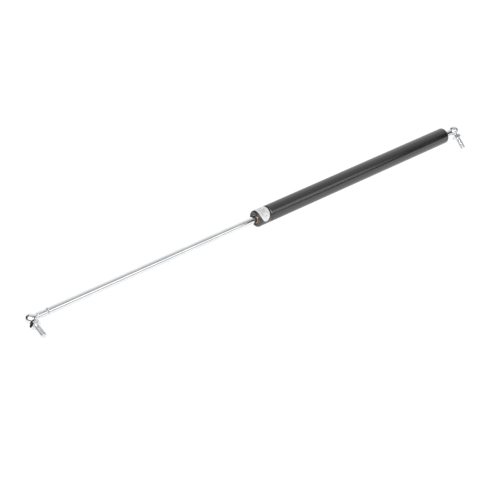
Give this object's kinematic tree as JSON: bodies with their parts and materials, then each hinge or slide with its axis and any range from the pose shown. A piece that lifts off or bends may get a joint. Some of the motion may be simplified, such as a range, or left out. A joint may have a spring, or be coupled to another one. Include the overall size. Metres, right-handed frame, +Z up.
{
  "type": "gas strut stay",
  "caption": "Slim gas strut with a black tube, a chromed rod and a metal ball socket with a threaded ball stud at each end, shown fully extended.",
  "frame": {"origin": "centre of the ball at the tube end, where that end pivots", "axes": "+X along the strut from the rod end to the tube end, +Z up, -Y towards the side the studs lean to"},
  "size_m": [0.7526, 0.0409, 0.0346],
  "materials": {
    "black_paint": "satin to semi-gloss",
    "chrome": "ground and polished",
    "zinc_plate": "bright zinc plate",
    "plain_steel": "plain",
    "label": "matt film",
    "rubber": "matt",
    "guide_resin": "moulded",
    "bronze": "sintered bronze",
    "zinc_cast": "die cast",
    "slide_resin": "filled resin"
  },
  "bodies": {
    "tube": {"pressure_tube": "black_paint", "label": "label", "end_plug": "zinc_plate", "end_plug_o_ring": "rubber", "rod_guide": "guide_resin", "guide_liner": "bronze", "guide_o_ring": "rubber", "rod_seal": "rubber", "seal_support_ring": "plain_steel", "tube_socket": "zinc_plate", "tube_ball_seat": "slide_resin"},
    "piston_ring": {"piston_ring": "slide_resin"},
    "rod": {"piston_rod": "chrome", "piston_washer": "plain_steel", "piston": "zinc_cast", "orifice_disc": "plain_steel", "rod_socket": "zinc_plate", "rod_ball_seat": "slide_resin"},
    "tube_stud": {"tube_stud": "zinc_plate"},
    "rod_stud": {"rod_stud": "zinc_plate"}
  },
  "joints": [
    {"name": "rod_slide", "type": "slide", "parent": "tube", "child": "piston_ring", "axis": [1, 0, 0], "range_m": [0, 0.3], "stiffness_N_per_m": 140, "springref_m": -0.857},
    {"name": "rod_spin", "type": "hinge", "parent": "piston_ring", "child": "rod", "pos_m": [-0.36, 0, 0], "axis": [1, 0, 0], "continuous": true},
    {"name": "rod_stud_swivel", "type": "hinge", "parent": "rod", "child": "rod_stud", "pos_m": [-0.7381, 0, 0], "axis": [0, -0.9483, -0.3173], "continuous": true},
    {"name": "tube_stud_swivel", "type": "hinge", "parent": "tube", "child": "tube_stud", "pos_m": [0, 0, 0], "axis": [0, -0.7254, -0.6884], "continuous": true}
  ]
}
